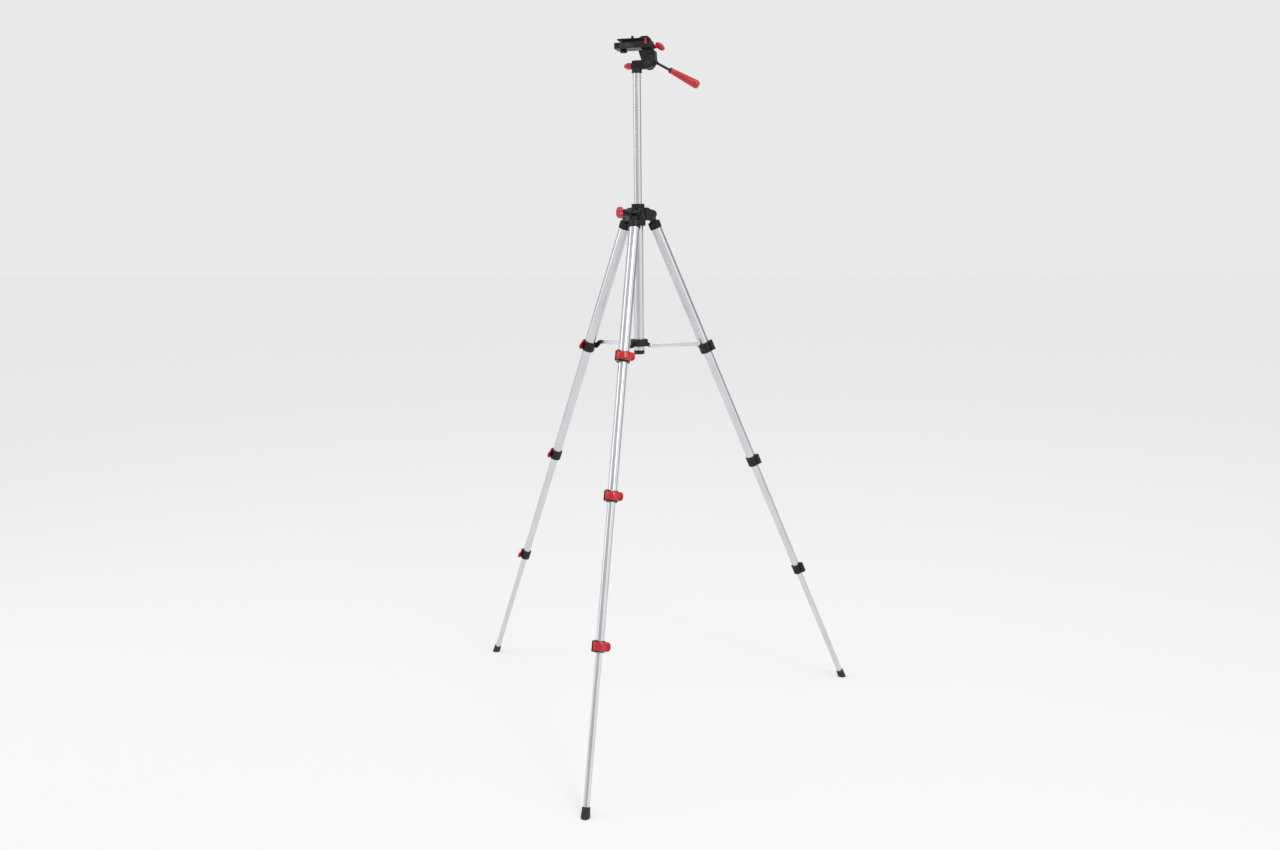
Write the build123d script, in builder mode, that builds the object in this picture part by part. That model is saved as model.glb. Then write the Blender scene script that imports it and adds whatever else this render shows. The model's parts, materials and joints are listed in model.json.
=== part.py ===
from build123d import *
import os
from math import cos, radians, sin

os.makedirs("parts", exist_ok=True)

# The origin is on the floor under the centre column. +Z is up, and the head faces -X.

# Stance: each leg hangs from a hinge pin and slopes out from the vertical.
leg_azimuths = (-90, 30, 150)
splay = 23.6
hinge_r = 31.8
hinge_z = 1128.3
pin_fit = 0.05
slide_gap = 0.3

# Leg sections, from the top down: outer radius, and where each starts and ends below the hinge.
tube_radii = (11.6, 9.9, 8.3, 6.5)
tube_bores = (10.2, 8.6, 6.8, 5.3)
lock_distances = (315.5, 611.7, 911.5)
tube_insert = 45
tube_top = 9.5
foot_distance = 1231
groove_radius = 1.5
groove_depth = 0.4

# Lock sleeves and their flip levers.
lock_height = 23
lock_wall = 3
lever_height = 19
lever_gap = 0.5
lever_thickness = 3
lever_pivot_angle = -30
lever_end_angle = 58
knuckle_radius = 2.9
knuckle_offset = 3.2
lever_pin_radius = 1.2

# Spreader: three bars between a hub on the guide tube and the upper locks.
hub_z = 847.4
hub_height = 15.6
hub_radius = 19.75
brace_z = 848.5
brace_inner_r = 22
brace_length = 112.5
brace_height = 8.5
brace_thickness = 2.5
brace_side = 15.2
brace_pin_radius = 1.5

# Centre: guide tube, sliding column and the spider that carries the legs.
guide_radius = 10.8
guide_bore = 9.4
guide_bottom = 832.5
guide_top = 1151
spider_top = 1151
spider_bottom = 1111
arm_bottom = 1122.8
arm_half_width = 11.3
tongue_half_width = 6
hinge_pin_radius = 2.5
column_radius = 8.4
column_bore = 7.4
column_bottom = 1113
column_top = 1433
knob_azimuth = 210
knob_z = 1140
collar_radius = 14.3
collar_height = 7.4
notch_depth = 4.4
notch_width = 6.4
notch_azimuths = (-33, 57)

# Head: pan base, tilt body on its axle, and a platform that flips on a stud at its far edge.
tilt_x = 26
tilt_z = 1452
tilt_axle_radius = 3
tongue_y = 5.4
tilt_half_width = 14
tilt_top = 1477.5
stud_y = 13
stud_z = 1488
stud_radius = 2
platform_bottom = 1482
platform_top = 1494
platform_half_width = 21
platform_front, platform_rear = -45.5, 35.5
wall_x, wall_top = 28.8, 1500.5
latch_x, latch_z = 24.5, 1491
plate_bottom = 1499.5
plate_top = 1502
screw_x = -9
screw_radius = 3.175
under_knob_x = -28.4
handle_slope = 29


def outward(azimuth):
    return Vector(cos(radians(azimuth)), sin(radians(azimuth)), 0)


def leg_plane(azimuth, distance):
    """Across a leg, this far below its hinge: Z up the leg, X outward, Y anticlockwise."""
    out, up = outward(azimuth), Vector(0, 0, 1)
    z_dir = up * cos(radians(splay)) - out * sin(radians(splay))
    x_dir = out * cos(radians(splay)) + up * sin(radians(splay))
    hinge = out * hinge_r + up * hinge_z
    return Plane(origin=hinge - z_dir * distance, x_dir=x_dir, z_dir=z_dir)


def radial_plane(azimuth, side=0):
    """Through the column axis: X outward, Y up, and the normal pointing clockwise."""
    clockwise = outward(azimuth - 90)
    return Plane(origin=clockwise * side, x_dir=outward(azimuth), z_dir=clockwise)


def save(piece, name):
    piece.part.label = name
    export_step(piece.part, f"parts/{name}.step")


def make_tube(azimuth, number):
    """A leg section with four shallow grooves along it."""
    radius = tube_radii[number - 1]
    bore = tube_bores[number - 1]
    top = tube_top if number == 1 else lock_distances[number - 2] - tube_insert
    bottom = foot_distance - 11 if number == 4 else lock_distances[number - 1]
    with BuildPart() as tube:
        with BuildSketch(leg_plane(azimuth, bottom)):
            Circle(radius)
            with PolarLocations(radius + groove_radius - groove_depth, 4, start_angle=45):
                Circle(groove_radius, mode=Mode.SUBTRACT)
            Circle(bore, mode=Mode.SUBTRACT)
        extrude(amount=bottom - top)
    return tube


def make_brace_ear(azimuth):
    """The ear on an upper lock that the spreader bar's outer rivet sits beside."""
    eye_r = brace_inner_r + brace_length
    inner_face = 10.5
    with BuildPart() as ear:
        with BuildSketch(radial_plane(azimuth, inner_face)):
            with Locations((eye_r, brace_z)):
                Circle(brace_height / 2)
            with BuildLine():
                Polyline(
                    (eye_r - 3, brace_z - 3),
                    (eye_r + 12, brace_z - 14),
                    (eye_r + 19, brace_z - 10),
                    (eye_r + 16, brace_z - 1),
                    (eye_r + 1.5, brace_z + 4),
                    close=True,
                )
            make_face()
        extrude(amount=brace_side - slide_gap - inner_face)
    return ear


def make_lock(azimuth, number):
    """A sleeve at the foot of a section, with two lugs and a pin for its lever."""
    radius = tube_radii[number - 1] + lock_wall
    below = lock_distances[number - 1] + lock_height / 2
    pivot = radius + knuckle_offset
    lug = (lock_height - lever_height) / 2 - slide_gap
    middle = lock_height / 2
    ear = make_brace_ear(azimuth)
    with BuildPart() as lock:
        with BuildSketch(leg_plane(azimuth, below)):
            Circle(radius)
        extrude(amount=lock_height)
        rims = lock.edges().filter_by(GeomType.CIRCLE)
        chamfer(rims, 0.8)
        for level in (0, lock_height - lug):
            with BuildSketch(leg_plane(azimuth, below - level)):
                with PolarLocations(pivot, 1, start_angle=lever_pivot_angle):
                    Circle(knuckle_radius)
                with PolarLocations(pivot / 2, 1, start_angle=lever_pivot_angle):
                    Rectangle(pivot, 2 * knuckle_radius)
            extrude(amount=lug)
        with BuildSketch(leg_plane(azimuth, below)):
            with PolarLocations(pivot, 1, start_angle=lever_pivot_angle):
                Circle(lever_pin_radius)
        extrude(amount=lock_height)
        if number == 1:
            add(ear.part)
        with BuildSketch(leg_plane(azimuth, below - middle)):
            Circle(tube_radii[number - 1])
        extrude(amount=lock_height, mode=Mode.SUBTRACT)
        with BuildSketch(leg_plane(azimuth, below)):
            Circle(tube_radii[number] + slide_gap)
        extrude(amount=lock_height, mode=Mode.SUBTRACT)
    return lock


def make_lever(azimuth, number):
    """A curved lever that wraps the sleeve and ends in a thumb tab."""
    sleeve = tube_radii[number - 1] + lock_wall
    inner = sleeve + lever_gap
    outer = inner + lever_thickness
    pivot = sleeve + knuckle_offset
    middle = (inner + outer) / 2
    tab_length = 11
    tab_flare = 48
    tab_angle = lever_end_angle + 90 - tab_flare
    tab = Vector(middle, 0).rotate(Axis.Z, lever_end_angle)
    tab = tab + Vector(tab_length / 2 + 0.5, 0).rotate(Axis.Z, tab_angle)
    with BuildPart() as lever:
        with BuildSketch(leg_plane(azimuth, lock_distances[number - 1] + lever_height / 2)):
            with BuildLine():
                sweep_angle = lever_end_angle - lever_pivot_angle
                near = CenterArc((0, 0), inner, lever_pivot_angle, sweep_angle)
                far = CenterArc((0, 0), outer, lever_pivot_angle, sweep_angle)
                Line(near @ 0, far @ 0)
                Line(near @ 1, far @ 1)
            make_face()
            with Locations((tab.X, tab.Y)):
                SlotOverall(tab_length + 3, lever_thickness, rotation=tab_angle)
            with PolarLocations(pivot, 1, start_angle=lever_pivot_angle):
                Circle(knuckle_radius)
                Circle(lever_pin_radius + pin_fit, mode=Mode.SUBTRACT)
        extrude(amount=lever_height)
    return lever


def make_top_cap(azimuth):
    """A ribbed collar on the leg's top, with the tongue that the hinge pin goes through."""
    collar_bottom, collar_top = 24.5, 8.5
    collar_radius = 12.9
    eye_radius, neck = 6.2, 9.2
    with BuildPart() as cap:
        with BuildSketch(leg_plane(azimuth, collar_bottom)):
            Circle(collar_radius)
            with PolarLocations(collar_radius, 18):
                Circle(0.7)
        extrude(amount=collar_bottom - collar_top)
        with BuildSketch(leg_plane(azimuth, collar_bottom)):
            Circle(tube_radii[0])
        extrude(amount=collar_bottom - tube_top, mode=Mode.SUBTRACT)
        hinge = (hinge_r, hinge_z)
        with BuildSketch(radial_plane(azimuth, -tongue_half_width)):
            with Locations(hinge):
                Circle(eye_radius)
                with Locations((neck / 2 * sin(radians(splay)), -neck / 2 * cos(radians(splay)))):
                    Rectangle(2 * eye_radius, neck, rotation=splay)
        extrude(amount=2 * tongue_half_width)
        with BuildSketch(radial_plane(azimuth, -tongue_half_width)):
            with Locations(hinge):
                Circle(hinge_pin_radius + pin_fit)
        extrude(amount=2 * tongue_half_width, mode=Mode.SUBTRACT)
    return cap


def make_foot(azimuth):
    """A slightly flared rubber foot, cut level with the floor."""
    top = foot_distance - 19
    below = foot_distance + 6
    with BuildPart() as foot:
        with BuildSketch(leg_plane(azimuth, below)):
            Circle(9.2)
        extrude(amount=below - top, taper=2)
        with BuildSketch(leg_plane(azimuth, foot_distance - 11)):
            Circle(tube_radii[3])
        extrude(amount=10, mode=Mode.SUBTRACT)
        split(bisect_by=Plane.XY, keep=Keep.TOP)
    return foot


def make_brace(azimuth):
    """A flat bar on edge, hung on a pin at the hub and carrying a rivet at its outer end."""
    outer_r = brace_inner_r + brace_length
    with BuildPart() as brace:
        with BuildSketch(radial_plane(azimuth, brace_side)):
            with Locations((brace_inner_r + brace_length / 2, brace_z)):
                SlotCenterToCenter(brace_length, brace_height)
            with Locations((brace_inner_r, brace_z)):
                Circle(brace_pin_radius + pin_fit, mode=Mode.SUBTRACT)
        extrude(amount=brace_thickness)
        with BuildSketch(radial_plane(azimuth, brace_side + brace_thickness)):
            with Locations((outer_r, brace_z)):
                Circle(2.8)
        extrude(amount=1.2, taper=20)
    return brace


# Legs
for leg, leg_azimuth in enumerate(leg_azimuths, start=1):
    save(make_top_cap(leg_azimuth), f"leg_{leg}_top_cap")
    for section in (1, 2, 3, 4):
        save(make_tube(leg_azimuth, section), f"leg_{leg}_tube_{section}")
    for section in (1, 2, 3):
        save(make_lock(leg_azimuth, section), f"leg_{leg}_lock_{section}")
        save(make_lever(leg_azimuth, section), f"leg_{leg}_lever_{section}")
    save(make_foot(leg_azimuth), f"leg_{leg}_foot")
    save(make_brace(leg_azimuth), f"leg_{leg}_brace")

# Spreader hub: a ring that slides on the guide tube, with a lug and a pin for each bar.
with BuildPart() as spreader_hub:
    with BuildSketch(Plane.XY.offset(hub_z)):
        Circle(hub_radius)
    extrude(amount=hub_height)
    chamfer(spreader_hub.edges().filter_by(GeomType.CIRCLE), 1.2)
    for azimuth in leg_azimuths:
        with BuildSketch(radial_plane(azimuth, 9.5)):
            with Locations((brace_inner_r, brace_z)):
                Circle(brace_height / 2)
            with BuildLine():
                Polyline(
                    (brace_inner_r, brace_z - brace_height / 2),
                    (brace_inner_r - 8, brace_z - brace_height / 2),
                    (brace_inner_r - 12, hub_z + 2),
                    (brace_inner_r - 12, hub_z + hub_height - 2),
                    (brace_inner_r, brace_z + brace_height / 2),
                    close=True,
                )
            make_face()
        extrude(amount=brace_side - slide_gap - 9.5)
    with BuildSketch(Plane.XY.offset(hub_z - 10)):
        Circle(guide_radius + slide_gap)
    extrude(amount=hub_height + 20, mode=Mode.SUBTRACT)
    for azimuth in leg_azimuths:
        with BuildSketch(radial_plane(azimuth, 9.5)):
            with Locations((brace_inner_r, brace_z)):
                Circle(brace_pin_radius)
        extrude(amount=10, mode=Mode.SUBTRACT)
save(spreader_hub, "spreader_hub")

with BuildPart() as brace_pins:
    for azimuth in leg_azimuths:
        with BuildSketch(radial_plane(azimuth, 9.5)):
            with Locations((brace_inner_r, brace_z)):
                Circle(brace_pin_radius)
        extrude(amount=brace_side + brace_thickness + slide_gap - 9.5)
        with BuildSketch(radial_plane(azimuth, brace_side + brace_thickness + slide_gap)):
            with Locations((brace_inner_r, brace_z)):
                Circle(2.8)
        extrude(amount=1.2, taper=20)
save(brace_pins, "brace_pins")

# Guide tube and its end cap
with BuildPart() as guide_tube:
    with BuildSketch(Plane.XY.offset(guide_bottom)):
        Circle(guide_radius)
        Circle(guide_bore, mode=Mode.SUBTRACT)
    extrude(amount=guide_top - guide_bottom)
save(guide_tube, "guide_tube")

with BuildPart() as guide_tube_cap:
    with BuildSketch(Plane.XY.offset(guide_bottom - 3)):
        Circle(11.6)
    extrude(amount=9)
    chamfer(guide_tube_cap.edges().filter_by(GeomType.CIRCLE).sort_by(Axis.Z)[0], 1.5)
    with BuildSketch(Plane.XY.offset(guide_bottom)):
        Circle(guide_radius)
    extrude(amount=10, mode=Mode.SUBTRACT)
save(guide_tube_cap, "guide_tube_cap")

# Spider: a hub with three forked arms and a boss for the column lock.
boss_end_r = 33
with BuildPart() as spider:
    with BuildSketch(Plane.XY.offset(spider_bottom)):
        Circle(16.3)
    extrude(amount=spider_top - spider_bottom)
    with BuildSketch(Plane.XY.offset(arm_bottom)):
        Circle(19.5)
    extrude(amount=spider_top - arm_bottom, taper=4)
    for azimuth in leg_azimuths:
        with BuildSketch(radial_plane(azimuth, -arm_half_width)):
            with Locations((hinge_r, hinge_z)):
                Circle(hinge_z - arm_bottom)
            with BuildLine():
                Polyline(
                    (8, arm_bottom),
                    (hinge_r, arm_bottom),
                    (hinge_r + 7.4, hinge_z + 1),
                    (hinge_r + 6.5, hinge_z + 12),
                    (hinge_r - 3, hinge_z + 19),
                    (8, spider_top),
                    close=True,
                )
            make_face()
        extrude(amount=2 * arm_half_width)
    boss_plane = Plane(
        origin=outward(knob_azimuth) * 8 + Vector(0, 0, knob_z),
        x_dir=(0, 0, 1),
        z_dir=outward(knob_azimuth),
    )
    with BuildSketch(boss_plane):
        Circle(7.5)
    extrude(amount=boss_end_r - 8)
    for azimuth in leg_azimuths:
        with BuildSketch(radial_plane(azimuth, -tongue_half_width - slide_gap)):
            with BuildLine():
                Polyline(
                    (21.5, arm_bottom - 10),
                    (60, arm_bottom - 10),
                    (60, hinge_z + 8.2),
                    (24, hinge_z + 8.2),
                    (21.5, hinge_z + 4),
                    close=True,
                )
            make_face()
        extrude(amount=2 * (tongue_half_width + slide_gap), mode=Mode.SUBTRACT)
        with BuildSketch(radial_plane(azimuth, -arm_half_width)):
            with Locations((hinge_r, hinge_z)):
                Circle(hinge_pin_radius)
        extrude(amount=2 * arm_half_width, mode=Mode.SUBTRACT)
    with BuildSketch(boss_plane):
        Circle(4 + pin_fit)
    extrude(amount=40, mode=Mode.SUBTRACT)
    with BuildSketch(Plane.XY.offset(spider_bottom)):
        Circle(guide_radius)
    extrude(amount=40, mode=Mode.SUBTRACT)
save(spider, "spider")

with BuildPart() as leg_hinge_pins:
    for azimuth in leg_azimuths:
        with BuildSketch(radial_plane(azimuth, -arm_half_width - 1)):
            with Locations((hinge_r, hinge_z)):
                Circle(hinge_pin_radius)
        extrude(amount=2 * arm_half_width + 2)
save(leg_hinge_pins, "leg_hinge_pins")

# The ring at the mouth of the guide tube, notched into four teeth.
with BuildPart() as column_collar:
    with BuildSketch(Plane.XY.offset(spider_top)):
        Circle(collar_radius)
        Circle(column_radius + slide_gap, mode=Mode.SUBTRACT)
    extrude(amount=collar_height)
    chamfer(column_collar.edges().filter_by(GeomType.CIRCLE).group_by(Axis.Z)[-1], 0.6)
    with BuildSketch(Plane.XY.offset(spider_top + collar_height - notch_depth)):
        for azimuth in notch_azimuths:
            Rectangle(2 * collar_radius, notch_width, rotation=azimuth)
    extrude(amount=notch_depth, mode=Mode.SUBTRACT)
save(column_collar, "column_collar")

# Column lock: a lobed red knob on a stem through the boss.
stem_plane = Plane(
    origin=outward(knob_azimuth) * 11.2 + Vector(0, 0, knob_z),
    x_dir=(0, 0, 1),
    z_dir=outward(knob_azimuth),
)
with BuildPart() as column_lock_knob:
    with BuildSketch(stem_plane):
        Circle(4)
    extrude(amount=25)
    with BuildSketch(stem_plane.offset(24.2)):
        Circle(10.4)
        with PolarLocations(9.2, 6):
            Circle(3)
    extrude(amount=12)
save(column_lock_knob, "column_lock_knob")

# Centre column: a plain tube that slides in the guide tube.
with BuildPart() as column_tube:
    with BuildSketch(Plane.XY.offset(column_bottom)):
        Circle(column_radius)
        Circle(column_bore, mode=Mode.SUBTRACT)
    extrude(amount=column_top - column_bottom)
save(column_tube, "column_tube")

# Pan base: a collar that turns on the column, with a tongue that carries the tilt axle.
tongue_top = 1459
tongue_radius = 11
with BuildPart() as pan_base:
    with BuildSketch(Plane.XZ):
        with BuildLine():
            Polyline(
                (0, column_top - 15),
                (column_bore - 0.1, column_top - 15),
                (column_bore - 0.1, column_top + 0.2),
                (11.3, column_top + 0.2),
                (11.3, column_top + 2.5),
                (10.4, column_top + 5),
                (10.4, column_top + 10.3),
                (0, column_top + 10.3),
                close=True,
            )
        make_face()
    revolve(axis=Axis.Z)
    with BuildSketch(Plane.XZ.offset(-tongue_y)):
        with BuildLine():
            Polyline(
                (-10.4, column_top + 6),
                (tilt_x, tilt_z - tongue_radius),
                (tilt_x, tongue_top + 4),
                (14, tongue_top),
                (-7.5, tongue_top),
                (-10.4, tongue_top - 3),
                close=True,
            )
        make_face()
        with Locations((tilt_x, tilt_z)):
            Circle(tongue_radius)
            Circle(tilt_axle_radius, mode=Mode.SUBTRACT)
    extrude(amount=2 * tongue_y)
    with BuildSketch(Plane.YZ.offset(-11)):
        with Locations((0, 1447.7)):
            Circle(2 + pin_fit)
    extrude(amount=7.5, mode=Mode.SUBTRACT)
save(pan_base, "pan_base")

with BuildPart() as pan_lock_knob:
    with BuildSketch(Plane.YZ.offset(-27)):
        with Locations((0, 1447.7)):
            Circle(4.2)
    extrude(amount=3)
    with BuildSketch(Plane.YZ.offset(-24)):
        with Locations((0, 1447.7)):
            Circle(5.8)
            with PolarLocations(5.2, 6):
                Circle(1.6)
    extrude(amount=12.8)
    with BuildSketch(Plane.YZ.offset(-11.2)):
        with Locations((0, 1447.7)):
            Circle(2)
    extrude(amount=7)
save(pan_lock_knob, "pan_lock_knob")

with BuildPart() as tilt_axle:
    with BuildSketch(Plane.XZ.offset(-tilt_half_width - 0.3)):
        with Locations((tilt_x, tilt_z)):
            Circle(tilt_axle_radius)
    extrude(amount=2 * tilt_half_width + 0.6)
    for face_y, amount in ((-tilt_half_width - 0.3, -1.3), (tilt_half_width + 0.3, 1.3)):
        with BuildSketch(Plane.XZ.offset(face_y)):
            with Locations((tilt_x, tilt_z)):
                Circle(5)
        extrude(amount=amount)
save(tilt_axle, "tilt_axle")

# Tilt body: two cheeks over the tongue, a socket for the handle and a lug for the platform stud.
handle_plane = Plane(
    origin=(tilt_x + 13.8, 0, tilt_z + 2.4),
    x_dir=(0, 1, 0),
    z_dir=(cos(radians(handle_slope)), 0, -sin(radians(handle_slope))),
)
socket_length = 5.5
lug_start_x, lug_end_x = 12, 28
lug_radius = 4.6
with BuildPart() as tilt_body:
    with BuildSketch(Plane.XZ.offset(-tilt_half_width)):
        with BuildLine():
            Polyline(
                (tilt_x - 12, tilt_z - 3),
                (12, 1460),
                (7, 1474.5),
                (7, tilt_top),
                (41.6, tilt_top),
                (42.4, 1459),
                (tilt_x + 12, tilt_z - 3),
                close=True,
            )
        make_face()
        with Locations((tilt_x, tilt_z)):
            Circle(12.4)
    extrude(amount=2 * tilt_half_width)
    outer_faces = tilt_body.faces().filter_by(Axis.Y)
    chamfer(outer_faces.edges(), 1.2)
    with BuildSketch(Plane.XZ.offset(-tongue_y - slide_gap)):
        with BuildLine():
            Polyline(
                (-5, 1430),
                (tilt_x + 11.3, 1430),
                (tilt_x + 11.3, 1464),
                (tilt_x + 7, 1468.5),
                (-5, 1468.5),
                close=True,
            )
        make_face()
    extrude(amount=2 * (tongue_y + slide_gap), mode=Mode.SUBTRACT)
    with BuildSketch(Plane.XZ.offset(-tilt_half_width)):
        with Locations((tilt_x, tilt_z)):
            Circle(tilt_axle_radius + pin_fit)
    extrude(amount=2 * tilt_half_width, mode=Mode.SUBTRACT)
    with BuildSketch(handle_plane):
        Circle(4.6)
    extrude(amount=socket_length)
    with BuildSketch(handle_plane.offset(0.6)):
        Circle(2.7 + pin_fit)
    extrude(amount=socket_length, mode=Mode.SUBTRACT)
    with BuildSketch(Plane.XY.offset(tilt_top)):
        with Locations((25, -3)):
            RectangleRounded(24, 13, 2)
    extrude(amount=platform_bottom - tilt_top)
    with BuildSketch(Plane.YZ.offset(lug_start_x)):
        with Locations((stud_y, stud_z)):
            Circle(lug_radius)
        with Locations((stud_y - 1.8, stud_z - 6)):
            Rectangle(5.6, 12)
    extrude(amount=lug_end_x - lug_start_x)
    with BuildSketch(Plane.YZ.offset(lug_start_x)):
        with Locations((stud_y, stud_z)):
            Circle(stud_radius + pin_fit)
    extrude(amount=lug_end_x - lug_start_x, mode=Mode.SUBTRACT)
save(tilt_body, "tilt_body")

# Handle: a thin rod with a tapered red grip.
rod_length = 36
grip_length = 72
with BuildPart() as handle_rod:
    with BuildSketch(handle_plane.offset(0.8)):
        Circle(2.7)
    extrude(amount=rod_length + 12)
save(handle_rod, "handle_rod")

with BuildPart() as handle_grip:
    with BuildSketch(Plane.XZ):
        with BuildLine():
            Polyline((0, 0), (6.2, 0), (6.2, 4), (5.8, 4.6), (8.6, grip_length - 16))
            Spline(
                (8.6, grip_length - 16),
                (9.1, grip_length - 4),
                (7.6, grip_length - 0.9),
                (5, grip_length),
            )
            Polyline((5, grip_length), (0, grip_length), (0, 0))
        make_face()
    revolve(axis=Axis.Z)
    with BuildSketch(Plane.XY):
        Circle(2.7)
    extrude(amount=12.8, mode=Mode.SUBTRACT)
grip_start = handle_plane.offset(rod_length)
handle_grip.part = grip_start.location * handle_grip.part
save(handle_grip, "handle_grip")

# Platform: a tray with a pocket over the lug, cross bores for its stud and a raised rear wall.
with BuildPart() as platform:
    with BuildSketch(Plane.XY.offset(platform_bottom)):
        with Locations(((platform_front + platform_rear) / 2, 0)):
            RectangleRounded(platform_rear - platform_front, 2 * platform_half_width, 5)
    extrude(amount=platform_top - platform_bottom)
    chamfer(platform.faces().sort_by(Axis.Z)[0].edges(), 1)
    with BuildSketch(Plane.XZ.offset(-16)):
        with BuildLine():
            Polyline(
                (wall_x, platform_top - 1),
                (platform_rear, platform_top - 1),
                (platform_rear - 1.5, platform_top + 2),
                (wall_x + 2.2, wall_top),
                (wall_x, wall_top),
                close=True,
            )
        make_face()
    extrude(amount=32)
    with BuildSketch(Plane.XY.offset(platform_bottom - 1)):
        with Locations(((lug_start_x + lug_end_x) / 2, 16)):
            Rectangle(lug_end_x - lug_start_x + 0.6, 17.2)
    extrude(amount=20, mode=Mode.SUBTRACT)
    with BuildSketch(Plane.YZ.offset(2)):
        with Locations((stud_y, stud_z)):
            Circle(stud_radius + pin_fit)
    extrude(amount=40, mode=Mode.SUBTRACT)
    with BuildSketch(Plane.XY.offset(platform_bottom - 1)):
        with Locations((under_knob_x, 0)):
            Circle(2.5 + pin_fit)
    extrude(amount=9.2, mode=Mode.SUBTRACT)
    with BuildSketch(Plane.XZ.offset(platform_half_width + 1)):
        with Locations((latch_x, latch_z)):
            Circle(1.5 + pin_fit)
    extrude(amount=-6, mode=Mode.SUBTRACT)
save(platform, "platform")

with BuildPart() as plate_lever:
    with BuildSketch(Plane.XZ.offset(platform_half_width + slide_gap)):
        with Locations((latch_x, latch_z)):
            Circle(2.7)
        with Locations((latch_x, latch_z + 3.8)):
            SlotOverall(10.5, 5, rotation=90)
    extrude(amount=3)
    with BuildSketch(Plane.XZ.offset(platform_half_width + slide_gap)):
        with Locations((latch_x, latch_z)):
            Circle(1.5)
    extrude(amount=-4.5)
save(plate_lever, "plate_lever")

with BuildPart() as plate_clamp_knob:
    with BuildSketch(Plane.XY.offset(1475.5)):
        with Locations((under_knob_x, 0)):
            Circle(7.4)
            with PolarLocations(7.3, 16):
                Circle(0.5)
    extrude(amount=6.2)
    with BuildSketch(Plane.XY.offset(1481)):
        with Locations((under_knob_x, 0)):
            Circle(2.5)
    extrude(amount=8.8)
save(plate_clamp_knob, "plate_clamp_knob")

with BuildPart() as side_tilt_knob:
    with BuildSketch(Plane.YZ.offset(4)):
        with Locations((stud_y, stud_z)):
            Circle(stud_radius)
    extrude(amount=34)
    with BuildSketch(Plane.YZ.offset(platform_rear + 0.4)):
        with Locations((stud_y, stud_z)):
            Circle(4.4)
    extrude(amount=6)
    with BuildSketch(Plane.XZ.offset(-stud_y - 2.5)):
        with Locations((platform_rear + 13, stud_z)):
            Ellipse(12.8, 6.6, rotation=-42)
    extrude(amount=5)
save(side_tilt_knob, "side_tilt_knob")

# Quick-release plate: a thin deck on a dovetail, with a stop along its rear edge.
with BuildPart() as quick_release_plate:
    with BuildSketch(Plane.XY.offset(plate_bottom)):
        with Locations((-5.25, 0)):
            RectangleRounded(67.1, 39, 4)
    extrude(amount=plate_top - plate_bottom)
    with BuildSketch(Plane.XY.offset(platform_top)):
        with Locations((-1.5, -3)):
            Rectangle(57, 24)
    extrude(amount=plate_bottom - platform_top, taper=8)
    with BuildSketch(Plane.XZ.offset(-17)):
        with BuildLine():
            Polyline((6, plate_top), (28.3, plate_top), (28.3, 1506), (14, 1506), close=True)
        make_face()
    extrude(amount=34)
    with BuildSketch(Plane.XY.offset(platform_top)):
        with Locations((screw_x, 0)):
            Circle(7.3)
    extrude(amount=3.4, mode=Mode.SUBTRACT)
    with BuildSketch(Plane.XY.offset(platform_top)):
        with Locations((screw_x, 0)):
            Circle(screw_radius + pin_fit)
    extrude(amount=10, mode=Mode.SUBTRACT)
save(quick_release_plate, "quick_release_plate")

with BuildPart() as camera_screw:
    with BuildSketch(Plane.XY.offset(platform_top + 0.6)):
        with Locations((screw_x, 0)):
            Circle(7)
            Rectangle(12, 1.4, mode=Mode.SUBTRACT)
    extrude(amount=1.2)
    with BuildSketch(Plane.XY.offset(platform_top + 1.8)):
        with Locations((screw_x, 0)):
            Circle(7)
    extrude(amount=1.4)
    with BuildSketch(Plane.XY.offset(platform_top + 3)):
        with Locations((screw_x, 0)):
            Circle(screw_radius - 0.2)
    extrude(amount=plate_top - platform_top - 3)
    with BuildSketch(Plane.XY.offset(plate_top)):
        with Locations((screw_x, 0)):
            Circle(screw_radius)
    extrude(amount=7.5)
    chamfer(camera_screw.edges().filter_by(GeomType.CIRCLE).sort_by(Axis.Z)[-1], 0.6)
save(camera_screw, "camera_screw")
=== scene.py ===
import json
import math

import bmesh
import bpy
from mathutils import Matrix, Vector


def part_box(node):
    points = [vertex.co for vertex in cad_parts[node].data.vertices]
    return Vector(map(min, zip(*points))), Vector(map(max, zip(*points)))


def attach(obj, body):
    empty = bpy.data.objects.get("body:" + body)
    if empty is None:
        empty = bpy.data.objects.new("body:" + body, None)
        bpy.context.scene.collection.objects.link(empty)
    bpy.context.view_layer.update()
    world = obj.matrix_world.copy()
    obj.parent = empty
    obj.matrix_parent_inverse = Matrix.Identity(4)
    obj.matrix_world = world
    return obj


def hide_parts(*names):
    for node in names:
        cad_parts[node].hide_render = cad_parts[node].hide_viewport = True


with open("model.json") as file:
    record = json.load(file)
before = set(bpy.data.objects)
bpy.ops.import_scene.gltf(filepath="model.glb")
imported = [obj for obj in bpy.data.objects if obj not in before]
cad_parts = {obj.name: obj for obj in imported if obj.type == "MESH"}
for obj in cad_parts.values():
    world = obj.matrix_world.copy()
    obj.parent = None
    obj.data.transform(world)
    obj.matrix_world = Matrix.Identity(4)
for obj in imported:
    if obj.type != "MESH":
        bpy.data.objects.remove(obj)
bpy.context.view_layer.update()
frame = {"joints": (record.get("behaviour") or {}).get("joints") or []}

# Every size below is in millimetres unless it says otherwise; MM turns it into metres.
MM = 0.001
JOINTS = {joint["name"]: joint for joint in frame["joints"]}
TURN = 2 * math.pi


# ---------------------------------------------------------------- materials

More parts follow.
